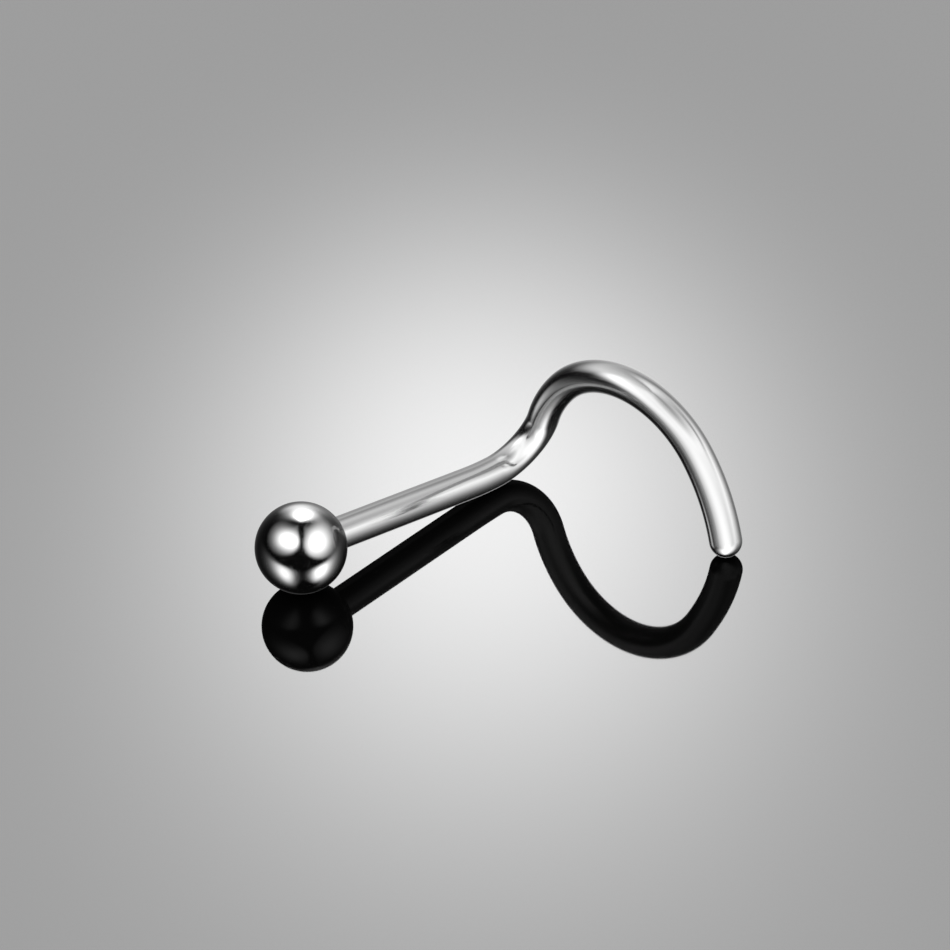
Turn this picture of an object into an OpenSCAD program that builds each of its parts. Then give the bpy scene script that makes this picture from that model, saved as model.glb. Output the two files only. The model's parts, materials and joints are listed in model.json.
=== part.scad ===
// Nose stud of polished steel: a ball on one piece of wire. The wire is a straight post, an elbow that turns
// it up out of the post's line, a short bowed riser and a wide crook that comes down again to a domed tip.
// Unworn it stands on three points, the ball, the elbow and the tip, and it is drawn as it then rests.
// Lengths are in millimetres and angles in degrees. Bend radii are those of the wire's centreline.

/* [Ball] */
// Diameter of the ball
ball_d = 2.2; // [1.8:0.1:3]
// Length of wire that sits in the ball's drilled seat
seat_l = 1.1; // [0.6:0.1:1.2]
// Gap all round the wire in its seat
seat_gap = 0.01; // [0.005:0.005:0.03]

/* [Wire] */
// Diameter of the wire
wire_d = 0.8; // [0.6:0.1:1]
// Straight post, from the ball's centre to the first bend
post_l = 5.45; // [5:0.05:8]

/* [Elbow] */
// Radius of the slow bend that leads into the corner
lead_r = 10; // [8:1:12]
// Turn of the slow bend
lead_turn = 5; // [3:0.5:7]
// Radius of the corner
corner_r = 1.25; // [1:0.05:1.4]
// Turn of the corner
corner_turn = 97.5; // [90:0.5:102]
// How far the corner's plane is rolled about the wire from the slow bend's plane
corner_roll = 44; // [38:1:50]

/* [Riser] */
// Radius of the riser, which bows gently
riser_r = 4; // [3:0.5:6]
// Turn of the riser
riser_turn = 20; // [10:1:28]
// How far the riser's plane is rolled about the wire from the corner's plane
riser_roll = 104; // [98:1:110]

/* [Crook] */
// Radius of the crook
crook_r = 2.7; // [2.4:0.1:3.2]
// Turn of the crook
crook_turn = 103.5; // [98:0.5:108]
// How far the crook's plane is rolled about the wire from the riser's plane
crook_roll = -11; // [-17:1:-5]
// Radius of the tail, where the crook opens out
tail_r = 7; // [5:0.5:10]
// Turn of the tail
tail_turn = 18; // [12:1:24]
// How far the tail's plane is rolled about the wire from the crook's plane
tail_roll = -37; // [-60:1:0]

/* [Hidden] */

ball_r = ball_d / 2;
wire_r = wire_d / 2;
ball_steps = 96;
wire_steps = 48;
bend_steps = 180;

// The bends in order from the ball
RADIUS = 0;
TURN = 1;
ROLL = 2;
bends = [
    [lead_r, lead_turn, 0],
    [corner_r, corner_turn, corner_roll],
    [riser_r, riser_turn, riser_roll],
    [crook_r, crook_turn, crook_roll],
    [tail_r, tail_turn, tail_roll],
];
LEAD = 0;
CORNER = 1;
CROOK = 3;

// The centreline is worked out in the wire's own frame, with the ball's centre at the origin and the post
// along +Z. A frame on it is the point, the direction along the wire and the side that the bend closes on.
POINT = 0;
ALONG = 1;
INNER = 2;
function turned(v, axis, angle) = v * cos(angle) + cross(axis, v) * sin(angle);
function on_bend(frame, radius, angle) =
    let (outward = -turned(frame[INNER], cross(frame[INNER], frame[ALONG]), -angle))
    [
        frame[POINT] + radius * (frame[INNER] + outward),
        turned(frame[ALONG], cross(frame[ALONG], frame[INNER]), angle),
        -outward,
    ];
function rolled(frame, angle) = [frame[POINT], frame[ALONG], turned(frame[INNER], frame[ALONG], angle)];
function bend_end(k) = on_bend(bend_start(k), bends[k][RADIUS], bends[k][TURN]);
function bend_start(k) = rolled(k == 0 ? [[0, 0, post_l], [0, 0, 1], [1, 0, 0]] : bend_end(k - 1), bends[k][ROLL]);
tip = bend_end(len(bends) - 1)[POINT];

// The way up at rest: the ball's centre lies higher than the tip's by the difference of their radii, and the
// lowest point of the elbow's centreline lies level with the tip's centre
function up_over(low) =
    let (
        to_ball = -tip,
        to_low = low - tip,
        normal = cross(to_ball, to_low),
        lean = (ball_r - wire_r) * ((to_low * to_low) * to_ball - (to_ball * to_low) * to_low) / (normal * normal),
        rest = sqrt(1 - lean * lean) * normal / norm(normal),
        crook_top = on_bend(bend_start(CROOK), crook_r, crook_turn / 2)[POINT]
    )
    (lean + rest) * crook_top > (lean - rest) * crook_top ? lean + rest : lean - rest;
function low_of(k, up) =
    let (start = bend_start(k), angle = atan2(-up * start[ALONG], up * start[INNER]))
    on_bend(start, bends[k][RADIUS], max(0, min(bends[k][TURN], angle)))[POINT];
function elbow_low(up) =
    let (in_lead = low_of(LEAD, up), in_corner = low_of(CORNER, up))
    up * in_lead < up * in_corner ? in_lead : in_corner;
function settled(up, rounds) = rounds == 0 ? up : settled(up_over(elbow_low(up)), rounds - 1);
up = settled(up_over(bend_start(LEAD)[POINT]), 8);

// The part's axes: +X runs level along the post from the ball to the elbow, +Z is up
post_ahead = [0, 0, 1] - up[2] * up;
ahead = post_ahead / norm(post_ahead);
turn_to_rest = [ahead, cross(up, ahead), up];

// The box round the resting stud, whose bottom centre is the origin
line = [
    for (k = [0:len(bends) - 1], i = [0:wire_steps])
        turn_to_rest * on_bend(bend_start(k), bends[k][RADIUS], bends[k][TURN] * i / wire_steps)[POINT]
];
function low_side(axis) = min(-ball_r, min([for (p = line) p[axis]]) - wire_r);
function high_side(axis) = max(ball_r, max([for (p = line) p[axis]]) + wire_r);
ball_at = [-(low_side(0) + high_side(0)) / 2, -(low_side(1) + high_side(1)) / 2, ball_r];

// Places what is drawn in the wire's own frame as the stud rests
module at_rest() {
    multmatrix([
        [each turn_to_rest[0], ball_at[0]],
        [each turn_to_rest[1], ball_at[1]],
        [each turn_to_rest[2], ball_at[2]],
    ])
        children();
}

// The wire is drawn this much smaller and then enlarged, so that each length meets the next closely enough
// for the whole wire to be one solid
small = 0.01;
thin_r = small * wire_r;

// A length that starts along +Z at the origin and bends towards +X
module bent_length(radius, turn) {
    translate([radius, 0, 0]) rotate([90, 0, 0]) rotate([0, 0, 180 - turn])
        rotate_extrude(angle = turn, $fn = bend_steps)
            translate([radius, 0]) circle(r = thin_r, $fn = wire_steps);
}

module after_bend(radius, turn) {
    translate([radius, 0, 0]) rotate([0, turn, 0]) translate([-radius, 0, 0]) children();
}

module straight_length(length) {
    cylinder(r = thin_r, h = length, $fn = wire_steps);
}

module domed_tip() {
    rotate_extrude($fn = wire_steps) intersection() {
        circle(r = thin_r, $fn = wire_steps);
        square(thin_r);
    }
}

// Lays bend k and everything after it, from where the wire has got to
module wire_from(k) {
    if (k == len(bends)) domed_tip();
    else {
        radius = small * bends[k][RADIUS];
        rotate([0, 0, bends[k][ROLL]]) {
            bent_length(radius, bends[k][TURN]);
            after_bend(radius, bends[k][TURN]) wire_from(k + 1);
        }
    }
}

module bent_wire() {
    start = small * (ball_r - seat_l);
    end = small * post_l;
    color("silver") at_rest() scale(1 / small) {
        translate([0, 0, start]) straight_length(end - start);
        translate([0, 0, end]) wire_from(0);
    }
}

module ball() {
    floor_at = ball_r - seat_l - seat_gap;
    color("gainsboro") at_rest() difference() {
        sphere(r = ball_r, $fn = ball_steps);
        translate([0, 0, floor_at]) cylinder(r = wire_r + seat_gap, h = ball_d, $fn = wire_steps);
    }
}

ball();
bent_wire();
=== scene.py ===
import json
import math
from collections import namedtuple

import bpy
import numpy as np
from mathutils import Matrix, Vector


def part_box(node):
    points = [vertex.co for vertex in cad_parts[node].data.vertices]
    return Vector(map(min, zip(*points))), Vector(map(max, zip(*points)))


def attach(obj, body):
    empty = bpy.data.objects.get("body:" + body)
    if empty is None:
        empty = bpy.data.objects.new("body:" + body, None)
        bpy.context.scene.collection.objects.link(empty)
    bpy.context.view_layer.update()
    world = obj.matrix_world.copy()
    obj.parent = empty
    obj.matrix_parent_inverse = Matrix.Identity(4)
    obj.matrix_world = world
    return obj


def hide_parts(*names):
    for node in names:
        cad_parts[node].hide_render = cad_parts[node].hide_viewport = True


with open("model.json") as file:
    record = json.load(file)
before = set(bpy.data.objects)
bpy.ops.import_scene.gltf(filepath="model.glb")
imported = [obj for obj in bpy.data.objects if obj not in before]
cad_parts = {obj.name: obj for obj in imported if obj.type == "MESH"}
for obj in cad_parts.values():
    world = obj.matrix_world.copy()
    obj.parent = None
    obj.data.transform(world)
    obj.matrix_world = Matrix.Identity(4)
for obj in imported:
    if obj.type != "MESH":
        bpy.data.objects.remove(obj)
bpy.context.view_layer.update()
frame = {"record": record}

bl_info = {
    "name": "Ball-End Nose Stud",
    "version": (1, 0, 0),
    "blender": (4, 5, 0),
    "location": "3D View > Sidebar > Nose Stud",
    "description": "Models a polished steel nose stud, a ball on a bent wire, and the floor it lies on",
    "category": "Add Mesh",
}

MM = 0.001

# The frame says where the ball is, which way the post points and how thick the wire is. The CAD ball's facets
# make its box a hair small, so its diameter is rounded to a hundredth of a millimetre.
post_mount = next(m for m in frame["record"]["mounts"] if m["name"] == "piercing_post")
ball_low, ball_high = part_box("ball")
FRAME_BALL_D = round(ball_high.z - ball_low.z, 5)
FRAME_WIRE_D = 2 * post_mount["dims"]["r_mm"] * MM
BARE_POST_L = post_mount["dims"]["length_mm"] * MM
POST_WAY = Vector(post_mount["axis"]).normalized()
BALL_AT = Vector(post_mount["pos_m"]) - POST_WAY * (FRAME_BALL_D + BARE_POST_L) / 2

# How finely the pieces and the tents are made
BALL_SEGMENTS = 192
BALL_RINGS = 96
MOUTH_SEGMENTS = 4
WIRE_SEGMENTS = 96
BEND_STEP = math.radians(1.5)
FEWEST_STEPS = 2
TIP_RINGS = 16
TENT_SEGMENTS = 360

# Points of the ball that are closer than this count as one, and faces that meet at less than this angle are
# shaded as one surface
CLOSE = 0.001 * MM
SMOOTH_ANGLE = math.radians(40)


def length(name, about, default):
    return bpy.props.FloatProperty(
        name=name, description=about, default=default, min=0.0, unit="LENGTH", precision=5
    )


def angle(name, about, degrees):
    return bpy.props.FloatProperty(
        name=name, description=about, default=math.radians(degrees), subtype="ANGLE", unit="ROTATION"
    )


def share(name, about, default):
    return bpy.props.FloatProperty(
        name=name, description=about, default=default, min=0.0, soft_max=1.0, subtype="FACTOR"
    )


def colour(name, about, default):
    return bpy.props.FloatVectorProperty(
        name=name, description=about, default=default, min=0.0, max=1.0, size=3, subtype="COLOR"
    )


def point(name, about, default):
    return bpy.props.FloatVectorProperty(
        name=name, description=about, default=default, subtype="TRANSLATION", unit="LENGTH", precision=5
    )


class StudSizes(bpy.types.PropertyGroup):
    """The stud's sizes. Bend radii are those of the wire's centreline"""

    ball_d: length("Ball", "Diameter of the ball", FRAME_BALL_D)
    seat_depth: length("Seat depth", "Length of wire in the ball's drilled seat", 1.1 * MM)
    seat_gap: length("Seat gap", "Gap all round the wire in its seat", 0.01 * MM)
    mouth_round: length("Mouth", "Rounding of the seat's mouth", 0.03 * MM)
    wire_d: length("Wire", "Diameter of the wire", FRAME_WIRE_D)
    post_length: length("Post", "From the ball's centre to the first bend", FRAME_BALL_D / 2 + BARE_POST_L)
    lead_radius: length("Lead-in radius", "Radius of the slow bend that leads into the corner", 10 * MM)
    lead_turn: angle("Lead-in turn", "Turn of the slow bend", 5)
    corner_radius: length("Corner radius", "Radius of the corner", 1.25 * MM)
    corner_turn: angle("Corner turn", "Turn of the corner", 97.5)
    corner_roll: angle("Corner roll", "Roll of the corner's plane from the slow bend's", 44)
    riser_radius: length("Riser radius", "Radius of the riser, which bows into the crook", 4 * MM)
    riser_turn: angle("Riser turn", "Turn of the riser", 20)
    riser_roll: angle("Riser roll", "Roll of the riser's plane from the corner's", 104)
    crook_radius: length("Crook radius", "Radius of the crook", 2.7 * MM)
    crook_turn: angle("Crook turn", "Turn of the crook", 103.5)
    crook_roll: angle("Crook roll", "Roll of the crook's plane from the riser's", -11)
    tail_radius: length("Tail radius", "Radius of the tail, where the crook opens out", 7 * MM)
    tail_turn: angle("Tail turn", "Turn of the tail", 18)
    tail_roll: angle("Tail roll", "Roll of the tail's plane from the crook's", -37)


class SteelFinish(bpy.types.PropertyGroup):
    """How the steel is polished"""

    ball_colour: colour("Ball colour", "Colour of the ball's steel", (0.70, 0.70, 0.70))
    wire_colour: colour("Wire colour", "Colour of the wire's steel", (0.69, 0.69, 0.69))
    ball_polish: share("Ball polish", "Roughness of the ball's clean steel", 0.06)
    wire_polish: share("Wire polish", "Roughness of the wire's clean steel", 0.10)
    haze: share("Haze", "Roughness that handling adds in faint patches", 0.06)
    hairline: share("Hairlines", "Roughness that the finest scratches add", 0.13)


class StudioSettings(bpy.types.PropertyGroup):
    """The floor, the light and the camera"""

    # The floor's colour fades from the pale one round the stud to the far one: a pool of light painted into
    # its colour, not cast by a lamp
    floor_pale: colour("Floor", "Colour of the floor round the stud", (0.88, 0.88, 0.88))
    floor_far: colour("Far floor", "Colour of the floor away from the stud", (0.34, 0.34, 0.34))
    floor_gloss: share("Floor gloss", "Share of the floor's light that it mirrors and doesn't scatter", 0.997)
    # Middle and size of that painted pool of light on the floor
    painted_pool_at: point("Pool", "Middle of the pool of light on the floor", (2.4 * MM, 3.0 * MM, 0.0))
    pool_size: length("Pool size", "Where the pool of light has lost two fifths of its brightness", 4.9 * MM)
    tent_radius: length("Tent radius", "Distance of the lamps from the stud", 0.35)
    camera_aim: point("Aim", "Point on the floor that the camera looks at", (2.8 * MM, 3.64 * MM, 0.0))
    camera_distance: length("Camera distance", "Distance of the camera from its aim", 92.3 * MM)
    camera_heading: angle("Heading", "Way the camera looks, turned from +X towards +Y", 47.7)
    camera_height: angle("Elevation", "How far down the camera looks", 30.4)
    camera_roll: angle("Roll", "How far the camera is rolled clockwise", 3.05)
    camera_lens: bpy.props.FloatProperty(
        name="Lens", description="Focal length on a 36 mm sensor", default=140.3, unit="CAMERA"
    )


def on_its_own(make):
    """Runs one step of modelling with nothing else selected and returns the object that it makes."""
    if bpy.context.mode != "OBJECT":
        bpy.ops.object.mode_set(mode="OBJECT")
    bpy.ops.object.select_all(action="DESELECT")
    make()
    return bpy.context.active_object


def named(piece, name):
    piece.name = name
    piece.data.name = name
    return piece


def settle_place():
    """Applies the place, so that the object sits at the origin and its place is in its mesh."""
    bpy.ops.object.transform_apply(location=True, rotation=True, scale=True)


def select_verts(piece, wanted):
    """In edit mode, selects just the vertices whose place passes the test."""
    bpy.ops.object.mode_set(mode="OBJECT")
    mesh = piece.data
    for polygon in mesh.polygons:
        polygon.select = False
    for edge in mesh.edges:
        edge.select = False
    for vertex in mesh.vertices:
        vertex.select = wanted(vertex.co)
    bpy.ops.object.mode_set(mode="EDIT")
    bpy.ops.mesh.select_mode(type="VERT")


def extrude(way, distance):
    """Draws out what is selected."""
    bpy.ops.mesh.extrude_region_move(TRANSFORM_OT_translate={"value": way * distance})


def close_up():
    """Ends the modelling of a closed piece: its faces point outwards and look smooth."""
    bpy.ops.mesh.select_all(action="SELECT")
    bpy.ops.mesh.normals_make_consistent(inside=False)
    bpy.ops.object.mode_set(mode="OBJECT")
    bpy.ops.object.shade_smooth_by_angle(angle=SMOOTH_ANGLE)


# The course of the wire

Bend = namedtuple("Bend", "start along inner radius turn")
CROOK = 3


def bends_of(sizes, start, along, inner):
    """The bends in order from the ball. Each has its start, the way the wire runs there, the side that it
    closes on, its radius and its turn."""
    table = [
        (sizes.lead_radius, sizes.lead_turn, 0.0),
        (sizes.corner_radius, sizes.corner_turn, sizes.corner_roll),
        (sizes.riser_radius, sizes.riser_turn, sizes.riser_roll),
        (sizes.crook_radius, sizes.crook_turn, sizes.crook_roll),
        (sizes.tail_radius, sizes.tail_turn, sizes.tail_roll),
    ]
    bends = []
    for radius, turn, roll in table:
        inner = Matrix.Rotation(roll, 3, along) @ inner
        bend = Bend(start, along, inner, radius, turn)
        bends.append(bend)
        start, along, inner = on_bend(bend, turn)
    return bends


def bend_centre(bend):
    return bend.start + bend.radius * bend.inner


def bend_axis(bend):
    return bend.along.cross(bend.inner)


def steps_in(bend):
    return max(FEWEST_STEPS, math.ceil(bend.turn / BEND_STEP))


def on_bend(bend, turn):
    """The wire's centreline after that much of the bend: the point, the way along and the inner side."""
    turned = Matrix.Rotation(turn, 3, bend_axis(bend))
    centre = bend_centre(bend)
    return centre + turned @ (bend.start - centre), turned @ bend.along, turned @ bend.inner


def resting_inner(sizes):
    """The side that the first bend closes on when the stud rests: it rolls about its post until the tip
    comes down to the floor, with the crook above."""
    upright = (Vector((0, 0, 1)) - POST_WAY.z * POST_WAY).normalized()
    beside = POST_WAY.cross(upright)
    bends = bends_of(sizes, POST_WAY * sizes.post_length, POST_WAY, upright)
    tip = on_bend(bends[-1], bends[-1].turn)[0]
    crook_top = on_bend(bends[CROOK], bends[CROOK].turn / 2)[0]
    reach = math.hypot(tip @ upright, tip @ beside)
    lean = math.atan2(tip @ beside, tip @ upright)
    drop = (sizes.wire_d / 2 - BALL_AT.z - (tip @ POST_WAY) * POST_WAY.z) / upright.z
    swing = math.acos(drop / reach)
    turns = [Matrix.Rotation(roll, 3, POST_WAY) for roll in (swing - lean, -swing - lean)]
    higher = max(turns, key=lambda turn: (turn @ crook_top).z)
    return higher @ upright


def course_of(sizes):
    return bends_of(sizes, BALL_AT + POST_WAY * sizes.post_length, POST_WAY, resting_inner(sizes))


# The pieces

def make_ball(sizes):
    """A ball with a drilled seat for the wire, its mouth a little rounded."""
    radius = sizes.ball_d / 2
    seat_radius = sizes.wire_d / 2 + sizes.seat_gap
    mouth_height = math.sqrt(radius**2 - seat_radius**2)
    seat_floor = radius - sizes.seat_depth - sizes.seat_gap
    to_post = POST_WAY.to_track_quat("Z", "X").to_euler()
    ball = on_its_own(lambda: bpy.ops.mesh.primitive_uv_sphere_add(
        segments=BALL_SEGMENTS, ring_count=BALL_RINGS, radius=radius, location=BALL_AT, rotation=to_post
    ))
    settle_place()
    mouth = BALL_AT + POST_WAY * mouth_height
    bpy.ops.object.mode_set(mode="EDIT")
    bpy.ops.mesh.select_all(action="SELECT")
    bpy.ops.mesh.bisect(plane_co=mouth, plane_no=POST_WAY, clear_outer=True)
    extrude(POST_WAY, seat_floor - mouth_height)
    bpy.ops.mesh.edge_face_add()
    select_verts(ball, lambda place: abs((place - mouth) @ POST_WAY) < CLOSE)
    bpy.ops.mesh.bevel(
        offset=sizes.mouth_round, segments=MOUTH_SEGMENTS, affect="EDGES", clamp_overlap=True
    )
    bpy.ops.mesh.select_all(action="SELECT")
    bpy.ops.mesh.remove_doubles(threshold=CLOSE)
    close_up()
    return named(ball, "steel_ball")


def run_bend(bend):
    """Draws the wire out round a bend. Spin turns the other way about its axis than a rotation matrix."""
    bpy.ops.mesh.spin(
        steps=steps_in(bend), angle=-bend.turn, center=bend_centre(bend), axis=bend_axis(bend),
        use_auto_merge=False,
    )


def run_dome(centre, along, radius):
    """Closes the wire in a round tip, ring by ring."""
    rings = [math.pi / 2 * ring / TIP_RINGS for ring in range(TIP_RINGS + 1)]
    for last, ring in zip(rings, rings[1:]):
        extrude(along, radius * (math.sin(ring) - math.sin(last)))
        if ring < rings[-1]:
            narrower = math.cos(ring) / math.cos(last)
            middle = centre + along * radius * math.sin(ring)
            bpy.ops.transform.resize(value=(narrower,) * 3, center_override=middle)
    bpy.ops.mesh.merge(type="CENTER")


def make_wire(sizes):
    """One length of wire: out of the ball's seat, along the post and through the bends to the tip."""
    radius = sizes.wire_d / 2
    start = BALL_AT + POST_WAY * (sizes.ball_d / 2 - sizes.seat_depth)
    to_post = POST_WAY.to_track_quat("Z", "X").to_euler()
    wire = on_its_own(lambda: bpy.ops.mesh.primitive_circle_add(
        vertices=WIRE_SEGMENTS, radius=radius, fill_type="NGON", location=start, rotation=to_post
    ))
    settle_place()
    course = course_of(sizes)
    bpy.ops.object.mode_set(mode="EDIT")
    bpy.ops.mesh.select_all(action="SELECT")
    bpy.ops.mesh.select_mode(type="EDGE")
    bpy.ops.mesh.region_to_loop()
    extrude(POST_WAY, (course[0].start - start).length)
    for bend in course:
        run_bend(bend)
    tip, along = on_bend(course[-1], course[-1].turn)[:2]
    run_dome(tip, along, radius)
    close_up()
    note_unbent(wire, start, course, SAME_STRETCH * sizes.wire_d)
    return named(wire, "steel_wire")


# A vertex belongs to the ring of the wire that it lies level with. A ring further from it than this share of
# the wire's diameter is on another stretch, and of rings that are as level the nearest is taken, because its
# distance counts a little too.
SAME_STRETCH = 0.75
DISTANCE_COUNTS = 0.001


def note_unbent(wire, start, course, reach):
    """Gives each vertex the place that it had before the wire was bent, so that marks drawn along the wire
    follow its bends."""
    points, alongs, inners, gone = [start], [POST_WAY], [course[0].inner], [0.0]
    distance = (course[0].start - start).length
    for bend in course:
        steady = inners[-1]
        roll = math.atan2(steady.cross(bend.inner) @ bend.along, steady @ bend.inner)
        for step in range(steps_in(bend) + 1):
            turn = bend.turn * step / steps_in(bend)
            place, along, inner = on_bend(bend, turn)
            points.append(place)
            alongs.append(along)
            inners.append(Matrix.Rotation(-roll, 3, along) @ inner)
            gone.append(distance + bend.radius * turn)
        distance += bend.radius * bend.turn
    points, alongs, inners = np.array(points), np.array(alongs), np.array(inners)
    sides = np.cross(alongs, inners)
    vertices = wire.data.vertices
    values = np.empty((len(vertices), 3), np.float32)
    for i, vertex in enumerate(vertices):
        away = np.array(vertex.co) - points
        ahead = (away * alongs).sum(1)
        apart = np.linalg.norm(away, axis=1)
        off = np.where(apart < reach, np.abs(ahead) + DISTANCE_COUNTS * apart, np.inf)
        k = int(np.argmin(off))
        values[i] = (away[k] @ inners[k], away[k] @ sides[k], gone[k] + ahead[k])
    unbent = wire.data.attributes.new("unbent", "FLOAT_VECTOR", "POINT")
    unbent.data.foreach_set("vector", values.ravel())


# Materials

# The sockets of a Mix node that mixes colours
MIX_SHARE = 0
MIX_FIRST = 6
MIX_SECOND = 7
MIX_OUT = 2

# The size of the patches of haze, and the share of its colour that the steel keeps where there is least haze
PATCH_SIZE = 0.9 * MM
CLEAN_TONE = 0.97

# How deep hairlines are cut, how strongly they catch the light, and over how much noise one fades in
MARK_DEPTH = 0.002 * MM
MARK_STRENGTH = 0.12
MARK_EDGE = 0.08

# Straight marks, cut from noise: the way they are turned, how far the noise is drawn out across and along
# them, and the noise above which a mark shows
Marks = namedtuple("Marks", "turned across along above")
BALL_MARKS = [
    Marks(turned=(0.3, 0.2, 0.0), across=0.016 * MM, along=0.9 * MM, above=0.64),
    Marks(turned=(1.4, 0.5, 0.8), across=0.014 * MM, along=1.1 * MM, above=0.66),
    Marks(turned=(0.7, 1.3, 2.1), across=0.018 * MM, along=0.8 * MM, above=0.66),
]
WIRE_MARKS = [
    Marks(turned=(0.0, 0.0, 0.0), across=0.014 * MM, along=1.8 * MM, above=0.60),
    Marks(turned=(0.25, 0.1, 0.0), across=0.016 * MM, along=0.8 * MM, above=0.67),
]


def new_material(name):
    material = bpy.data.materials.new(name)
    material.use_nodes = True
    material.node_tree.nodes.clear()
    return material


def add(tree, kind, inputs=None, **settings):
    """A new node. Its inputs take plain values or the outputs of other nodes."""
    node = tree.nodes.new(kind)
    for name, value in settings.items():
        setattr(node, name, value)
    for name, value in (inputs or {}).items():
        if isinstance(value, bpy.types.NodeSocket):
            tree.links.new(value, node.inputs[name])
        else:
            node.inputs[name].default_value = value
    return node


def finish_material(tree, shader):
    add(tree, "ShaderNodeOutputMaterial", {"Surface": shader})


def math_node(tree, operation, first, second=0.0):
    return add(tree, "ShaderNodeMath", {0: first, 1: second}, operation=operation).outputs[0]


def blended(tree, part, first, second):
    """The first colour where the part is 0 and the second where it is 1."""
    return add(tree, "ShaderNodeMix", {
        MIX_SHARE: part, MIX_FIRST: (*first, 1), MIX_SECOND: (*second, 1)
    }, data_type="RGBA").outputs[MIX_OUT]


def hairlines(tree, place, marks):
    """Fine straight marks, 1 on a mark and 0 off it: noise drawn out along one way."""
    drawn = add(tree, "ShaderNodeMapping", {
        "Vector": place,
        "Rotation": marks.turned,
        "Scale": (1 / marks.across, 1 / marks.across, 1 / marks.along),
    }).outputs[0]
    noise = add(tree, "ShaderNodeTexNoise", {"Vector": drawn, "Scale": 1.0, "Detail": 2.0}).outputs["Fac"]
    return add(tree, "ShaderNodeMapRange", {
        "Value": noise, "From Min": marks.above, "From Max": marks.above + MARK_EDGE
    }, interpolation_type="SMOOTHSTEP").outputs[0]


def steel_material(name, steel_colour, polish, finish, coordinates, mark_sets):
    """Polished steel: a mirror with faint patches of haze and sets of hairline marks."""
    material = new_material(name)
    tree = material.node_tree
    place = coordinates(tree)
    scratches = hairlines(tree, place, mark_sets[0])
    for marks in mark_sets[1:]:
        scratches = math_node(tree, "MAXIMUM", scratches, hairlines(tree, place, marks))
    patches = add(tree, "ShaderNodeTexNoise", {
        "Vector": place, "Scale": 1 / PATCH_SIZE, "Detail": 3.0, "Roughness": 0.6
    }).outputs["Fac"]
    hazed = math_node(tree, "MULTIPLY", patches, finish.haze)
    scratched = math_node(tree, "MULTIPLY", scratches, finish.hairline)
    roughness = math_node(tree, "ADD", math_node(tree, "ADD", hazed, scratched), polish)
    tone = blended(tree, patches, [part * CLEAN_TONE for part in steel_colour], steel_colour)
    bump = add(tree, "ShaderNodeBump", {
        "Height": scratches, "Strength": MARK_STRENGTH, "Distance": MARK_DEPTH
    }, invert=True).outputs[0]
    shader = add(tree, "ShaderNodeBsdfPrincipled", {
        "Base Color": tone, "Metallic": 1.0, "Roughness": roughness, "Normal": bump
    })
    finish_material(tree, shader.outputs[0])
    return material


def ball_steel(finish):
    """The lapped ball: hairlines that cross each other every way."""
    def from_centre(tree):
        at = add(tree, "ShaderNodeTexCoord").outputs["Object"]
        return add(tree, "ShaderNodeVectorMath", {0: at, 1: BALL_AT}, operation="SUBTRACT").outputs[0]

    return steel_material(
        "ball_steel", finish.ball_colour, finish.ball_polish, finish, from_centre, BALL_MARKS
    )


def wire_steel(finish):
    """The drawn wire: hairlines along it, and a few that stray across."""
    def from_unbent(tree):
        return add(tree, "ShaderNodeAttribute", attribute_name="unbent").outputs["Vector"]

    return steel_material(
        "wire_steel", finish.wire_colour, finish.wire_polish, finish, from_unbent, WIRE_MARKS
    )


# The stage

# A soft lamp on the tent round the stud. Each of its pairs is a heading and a height in degrees, and a place
# is given by its heading to the camera's right, from where the camera stands, and its height above the floor.
# The lamp's window is an oval that reaches so far each way from the place that it is at, and soft is the
# share of the way in from its rim over which it fades. What shows in the window is a glow that is brightest
# at the hot spot and fades away from it.
Lamp = namedtuple("Lamp", "at reach soft hot fade glow")

# What the ball sees round it, and the dim light between its lamps
BALL_LAMPS = {
    "left": Lamp(at=(-65, 50), reach=(70, 50), soft=0.20, hot=(-40, 45), fade=(30, 15), glow=3.0),
    "right": Lamp(at=(70, 35), reach=(65, 50), soft=0.20, hot=(50, 30), fade=(25, 20), glow=2.1),
    "high_back": Lamp(at=(170, 50), reach=(125, 35), soft=0.65, hot=(170, 85), fade=(20, 25), glow=9.5),
    "back": Lamp(at=(130, 60), reach=(90, 100), soft=0.70, hot=(-145, 20), fade=(25, 10), glow=5.4),
    "right_fill": Lamp(at=(75, 30), reach=(70, 45), soft=0.75, hot=(145, 65), fade=(140, 35), glow=1.1),
    "low_left": Lamp(at=(-125, -45), reach=(140, 40), soft=0.20, hot=(-45, -30), fade=(15, 20), glow=1.0),
    "low_right": Lamp(at=(135, -45), reach=(155, 35), soft=0.35, hot=(45, -30), fade=(15, 25), glow=2.1),
    "below": Lamp(at=(-170, -40), reach=(155, 50), soft=0.30, hot=(10, -10), fade=(35, 200), glow=3.6),
    "far_back": Lamp(at=(-145, 10), reach=(75, 75), soft=0.55, hot=(145, -40), fade=(30, 65), glow=0.4),
    "far_back_right": Lamp(at=(145, 10), reach=(65, 45), soft=0.60, hot=(-145, -5), fade=(60, 65), glow=0.1),
}
BALL_DIM = 0.003

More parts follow.
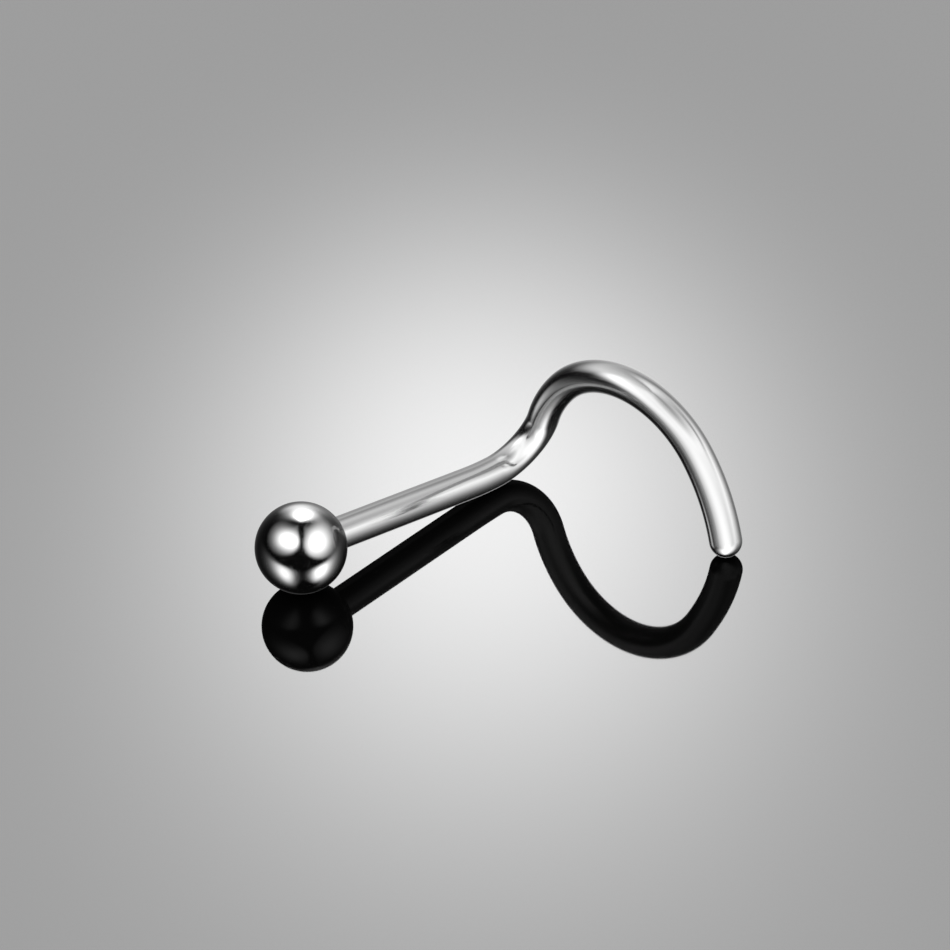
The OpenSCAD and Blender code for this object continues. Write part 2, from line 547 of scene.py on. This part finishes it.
# What the wire sees round it, and the dim light between its lamps
WIRE_LAMPS = {
    "front": Lamp(at=(-10, 80), reach=(110, 110), soft=0.20, hot=(-30, 25), fade=(200, 20), glow=1.4),
    "right": Lamp(at=(-175, -30), reach=(160, 85), soft=0.20, hot=(50, 50), fade=(45, 40), glow=2.8),
    "top": Lamp(at=(55, 65), reach=(140, 45), soft=0.35, hot=(-145, 90), fade=(110, 45), glow=1.4),
    "back_left": Lamp(at=(-140, 65), reach=(135, 55), soft=0.55, hot=(-100, -90), fade=(70, 140), glow=1.5),
    "low_front": Lamp(at=(5, -35), reach=(80, 60), soft=0.80, hot=(30, 40), fade=(80, 135), glow=1.9),
    "below": Lamp(at=(-25, -55), reach=(105, 30), soft=0.40, hot=(-25, -75), fade=(30, 30), glow=1.2),
    "left_fill": Lamp(at=(-65, -50), reach=(25, 60), soft=0.40, hot=(175, 0), fade=(90, 15), glow=0.8),
    "back": Lamp(at=(-85, -10), reach=(170, 60), soft=0.25, hot=(170, -90), fade=(20, 165), glow=0.6),
    "left_streak": Lamp(at=(-90, -15), reach=(35, 25), soft=0.40, hot=(-125, -45), fade=(15, 15), glow=3.5),
}
WIRE_DIM = 0.003

# How much further out than the ball's tent the wire's stands
WIRE_TENT = 1.1

# How much of the lamps' light is left in the reflection of a reflection
SECOND_SIGHT = 0.4

# The dome lights only the floor. The brighter it is, the darker the sheet that still looks pale under it,
# and the dimmer the stud's mirror image in that sheet.
DOME_STRENGTH = 40.0
DOME_RADIUS = 1.2
DOME_SEGMENTS = 48
FLOOR_WIDTH = 3.0
FLOOR_ROUGHNESS = 0.03

WHITE = (1, 1, 1, 1)

SENSOR_WIDTH = 36.0
CAMERA_NEAREST = 1 * MM
CAMERA_FURTHEST = 10.0


def spreads_from(place, spread, headings, heights):
    """How many spreads away from a place each heading and height lies, with headings the short way round."""
    turned = (headings - place[0] + 180) % 360 - 180
    return np.hypot(turned / spread[0], (heights - place[1]) / spread[1])


def glow_of(lamp, headings, heights):
    """How bright a lamp looks towards each heading and height."""
    out = spreads_from(lamp.at, lamp.reach, headings, heights)
    rim = np.clip((1 - out) / lamp.soft, 0, 1)
    window = rim * rim * (3 - 2 * rim)
    from_hot = spreads_from(lamp.hot, lamp.fade, headings, heights)
    return lamp.glow * window * np.exp(-from_hot**2 / 2)


def keep_to(light, piece):
    """Makes a light fall on that piece only."""
    lit = bpy.data.collections.new("lit_by_" + light.name)
    lit.objects.link(piece)
    light.light_linking.receiver_collection = lit


def unseen(light, scattered):
    """Leaves a light only to glossy rays and, where it is to be scattered too, to diffuse ones."""
    light.visible_camera = False
    light.visible_transmission = False
    light.visible_volume_scatter = False
    light.visible_shadow = False
    light.visible_diffuse = scattered


def tent_material(name):
    """A surface that glows as its own attribute says and is otherwise clear. Its light is weaker in a second
    reflection, which is one on the stud itself or in the floor."""
    material = new_material(name)
    material.cycles.emission_sampling = "NONE"
    tree = material.node_tree
    glow = add(tree, "ShaderNodeAttribute", attribute_name="glow").outputs["Fac"]
    reflections = add(tree, "ShaderNodeLightPath").outputs["Glossy Depth"]
    faded = math_node(tree, "POWER", SECOND_SIGHT, math_node(tree, "SUBTRACT", reflections, 1.0))
    strength = math_node(tree, "MULTIPLY", glow, faded)
    light = add(tree, "ShaderNodeEmission", {"Color": WHITE, "Strength": strength}).outputs[0]
    clear = add(tree, "ShaderNodeBsdfTransparent").outputs[0]
    finish_material(tree, add(tree, "ShaderNodeAddShader", {0: light, 1: clear}).outputs[0])
    return material


def make_tent(name, lamps, dim, radius, studio, lit):
    """A clear ball round the stud that glows where its lamps stand, and lights only the piece that it is
    kept to."""
    tent = named(on_its_own(lambda: bpy.ops.mesh.primitive_uv_sphere_add(
        segments=TENT_SEGMENTS, ring_count=TENT_SEGMENTS // 2, radius=radius
    )), name)
    places = np.array([vertex.co for vertex in tent.data.vertices]) / radius
    to_camera = studio.camera_heading + math.pi
    headings = np.degrees(np.arctan2(places[:, 1], places[:, 0]) - to_camera)
    heights = np.degrees(np.arcsin(np.clip(places[:, 2], -1, 1)))
    light = dim + sum(glow_of(lamp, headings, heights) for lamp in lamps.values())
    glow = tent.data.attributes.new("glow", "FLOAT", "POINT")
    glow.data.foreach_set("value", light.astype(np.float32))
    tent.data.materials.append(tent_material(name))
    unseen(tent, scattered=False)
    keep_to(tent, lit)


def floor_material(studio):
    """A dark glossy sheet under the bright dome, which makes it look pale, with a dim mirror image of what
    stands on it. It is palest in a soft pool of light that is painted into its colour, which is longer the
    way that the camera looks, so that it looks round in the picture."""
    material = new_material("floor")
    tree = material.node_tree
    at = add(tree, "ShaderNodeTexCoord").outputs["Object"]
    # The painted pool of light: the floor's colour is made paler round the stud and fades outwards in a bell
    # curve
    pool = add(tree, "ShaderNodeMapping", {
        "Vector": at,
        "Location": studio.painted_pool_at,
        "Rotation": (0, 0, studio.camera_heading),
        "Scale": (studio.pool_size / math.sin(studio.camera_height), studio.pool_size, 1.0),
    }, vector_type="TEXTURE").outputs[0]
    out = add(tree, "ShaderNodeVectorMath", {0: pool}, operation="LENGTH").outputs["Value"]
    squared = math_node(tree, "MULTIPLY", out, out)
    painted_pool = math_node(tree, "EXPONENT", math_node(tree, "MULTIPLY", squared, -0.5))

    # The floor's colour for that share of its light, divided by the dome's brightness, with the pool of light
    # painted in
    def painted_pool_colour(part):
        far = [c * part / DOME_STRENGTH for c in studio.floor_far]
        near = [c * part / DOME_STRENGTH for c in studio.floor_pale]
        return blended(tree, painted_pool, far, near)

    sheet = add(tree, "ShaderNodeBsdfDiffuse", {"Color": painted_pool_colour(1 - studio.floor_gloss)}).outputs[0]
    gloss = add(tree, "ShaderNodeBsdfGlossy", {
        "Color": painted_pool_colour(studio.floor_gloss), "Roughness": FLOOR_ROUGHNESS
    }).outputs[0]
    finish_material(tree, add(tree, "ShaderNodeAddShader", {0: sheet, 1: gloss}).outputs[0])
    return material


def make_floor(studio):
    """The floor, which the steel doesn't mirror: the tents stand in for what it would see there."""
    floor = named(on_its_own(lambda: bpy.ops.mesh.primitive_plane_add(size=FLOOR_WIDTH)), "floor")
    floor.data.materials.append(floor_material(studio))
    floor.visible_glossy = False
    return floor


def dome_material():
    material = new_material("dome")
    tree = material.node_tree
    light = add(tree, "ShaderNodeEmission", {"Color": WHITE, "Strength": DOME_STRENGTH})
    finish_material(tree, light.outputs[0])
    return material


def make_dome(floor):
    """A bright dome over all, which lights only the floor."""
    dome = named(on_its_own(lambda: bpy.ops.mesh.primitive_uv_sphere_add(
        segments=DOME_SEGMENTS, ring_count=DOME_SEGMENTS // 2, radius=DOME_RADIUS
    )), "dome")
    dome.data.materials.append(dome_material())
    unseen(dome, scattered=True)
    keep_to(dome, floor)


def make_world(studio):
    """Beyond the floor the camera sees the floor's own far colour."""
    world = bpy.data.worlds.new("studio")
    world.use_nodes = True
    world.node_tree.nodes["Background"].inputs["Color"].default_value = (*studio.floor_far, 1)
    sees = world.cycles_visibility
    sees.diffuse = False
    sees.glossy = False
    sees.transmission = False
    sees.scatter = False
    bpy.context.scene.world = world


def make_camera(studio):
    """The camera at the photograph's angle, with a long lens."""
    heading, down = studio.camera_heading, studio.camera_height
    ahead = Vector((math.cos(heading) * math.cos(down), math.sin(heading) * math.cos(down), -math.sin(down)))
    place = Vector(studio.camera_aim) - ahead * studio.camera_distance
    level = ahead.to_track_quat("-Z", "Y").to_matrix()
    rolled = Matrix.Rotation(studio.camera_roll, 3, ahead) @ level
    camera_data = bpy.data.cameras.new("camera")
    camera_data.lens = studio.camera_lens
    camera_data.sensor_width = SENSOR_WIDTH
    camera_data.clip_start = CAMERA_NEAREST
    camera_data.clip_end = CAMERA_FURTHEST
    camera = bpy.data.objects.new("camera", camera_data)
    camera.matrix_world = Matrix.LocRotScale(place, rolled, None)
    bpy.context.scene.collection.objects.link(camera)
    bpy.context.scene.camera = camera


# The add-on

class STUD_OT_ball(bpy.types.Operator):
    """Model the ball with its drilled seat"""

    bl_idname = "object.stud_ball"
    bl_label = "Ball"

    def execute(self, context):
        ball = make_ball(context.scene.stud_sizes)
        ball.data.materials.append(ball_steel(context.scene.steel_finish))
        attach(ball, "root")
        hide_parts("ball")
        return {"FINISHED"}


class STUD_OT_wire(bpy.types.Operator):
    """Model the wire: post, elbow, riser, crook and tip"""

    bl_idname = "object.stud_wire"
    bl_label = "Wire"

    def execute(self, context):
        wire = make_wire(context.scene.stud_sizes)
        wire.data.materials.append(wire_steel(context.scene.steel_finish))
        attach(wire, "root")
        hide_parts("bent_wire")
        return {"FINISHED"}


class STUD_OT_stage(bpy.types.Operator):
    """Lay the floor and set up the light and the camera"""

    bl_idname = "object.stud_stage"
    bl_label = "Stage"

    def execute(self, context):
        studio = context.scene.studio
        context.scene.view_settings.view_transform = "Standard"
        ball = bpy.data.objects["steel_ball"]
        wire = bpy.data.objects["steel_wire"]
        make_tent("ball_tent", BALL_LAMPS, BALL_DIM, studio.tent_radius, studio, ball)
        make_tent("wire_tent", WIRE_LAMPS, WIRE_DIM, studio.tent_radius * WIRE_TENT, studio, wire)
        make_dome(make_floor(studio))
        make_world(studio)
        make_camera(studio)
        return {"FINISHED"}


class STUD_PT_panel(bpy.types.Panel):
    """Sizes and steps of the nose stud"""

    bl_label = "Nose Stud"
    bl_idname = "STUD_PT_panel"
    bl_space_type = "VIEW_3D"
    bl_region_type = "UI"
    bl_category = "Nose Stud"

    def draw(self, context):
        for group in (context.scene.stud_sizes, context.scene.steel_finish, context.scene.studio):
            box = self.layout.box()
            for name in group.__annotations__:
                box.prop(group, name)
        for operator in STEPS:
            self.layout.operator(operator.bl_idname)


GROUPS = (("stud_sizes", StudSizes), ("steel_finish", SteelFinish), ("studio", StudioSettings))
STEPS = (STUD_OT_ball, STUD_OT_wire, STUD_OT_stage)


def register():
    for name, group in GROUPS:
        bpy.utils.register_class(group)
        setattr(bpy.types.Scene, name, bpy.props.PointerProperty(type=group))
    for each in (*STEPS, STUD_PT_panel):
        bpy.utils.register_class(each)


def unregister():
    for each in (STUD_PT_panel, *reversed(STEPS)):
        bpy.utils.unregister_class(each)
    for name, group in reversed(GROUPS):
        delattr(bpy.types.Scene, name)
        bpy.utils.unregister_class(group)


def main():
    register()
    bpy.ops.object.stud_ball()
    bpy.ops.object.stud_wire()
    bpy.ops.object.stud_stage()


if __name__ == "__main__":
    main()
